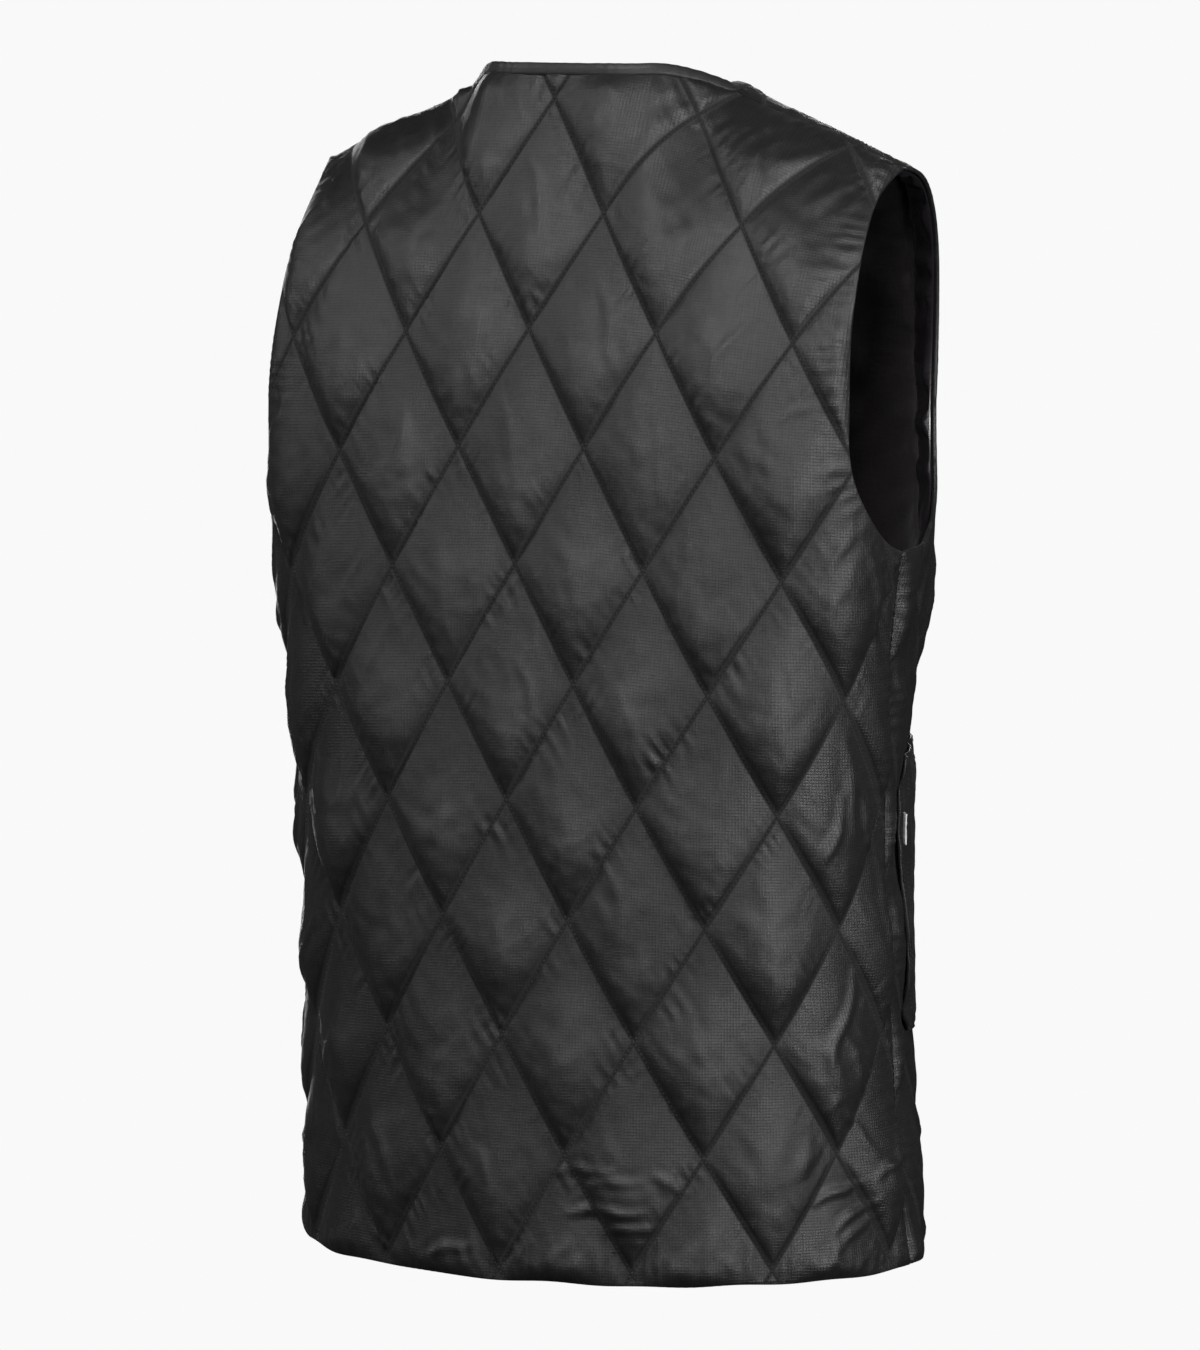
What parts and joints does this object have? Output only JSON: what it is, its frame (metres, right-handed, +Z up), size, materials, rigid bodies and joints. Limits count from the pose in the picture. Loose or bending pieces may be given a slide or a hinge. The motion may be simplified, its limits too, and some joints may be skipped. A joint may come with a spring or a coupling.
{
  "type": "quilted vest",
  "caption": "Sleeveless diamond-quilted vest with a round bound neck, snap front, patch pockets and a plain lining, standing filled out as worn.",
  "frame": {"origin": "middle of the shoulder line at the foot of the neck, where the wearer's shoulders carry the vest", "axes": "+Z up, the front of the vest faces -Y, its left side as worn is +X"},
  "size_m": [0.4053, 0.3142, 0.7247],
  "materials": {
    "shell_nylon": "black ripstop nylon with a soft satin sheen",
    "binding_nylon": "black nylon tape, satin",
    "facing_satin": "black satin, glossy",
    "lining_cloth": "black plain woven lining, matte",
    "pocket_nylon": "black ripstop nylon, satin",
    "snap_metal": "black painted caps, semi-matte",
    "label_weave": "plain white woven tab, matte"
  },
  "bodies": {
    "root": {"back": "shell_nylon", "front_left": "shell_nylon", "front_right": "shell_nylon", "lining_back": "lining_cloth", "lining_front_left": "lining_cloth", "lining_front_right": "lining_cloth", "facing_back_left": "facing_satin", "facing_back_right": "facing_satin", "facing_front_left": "facing_satin", "facing_front_right": "facing_satin", "neck_binding": "binding_nylon", "pocket_left": "pocket_nylon", "pocket_right": "pocket_nylon", "label_tab": "label_weave", "snap_1": "snap_metal", "snap_2": "snap_metal", "snap_3": "snap_metal", "snap_4": "snap_metal", "snap_5": "snap_metal"}
  },
  "joints": []
}
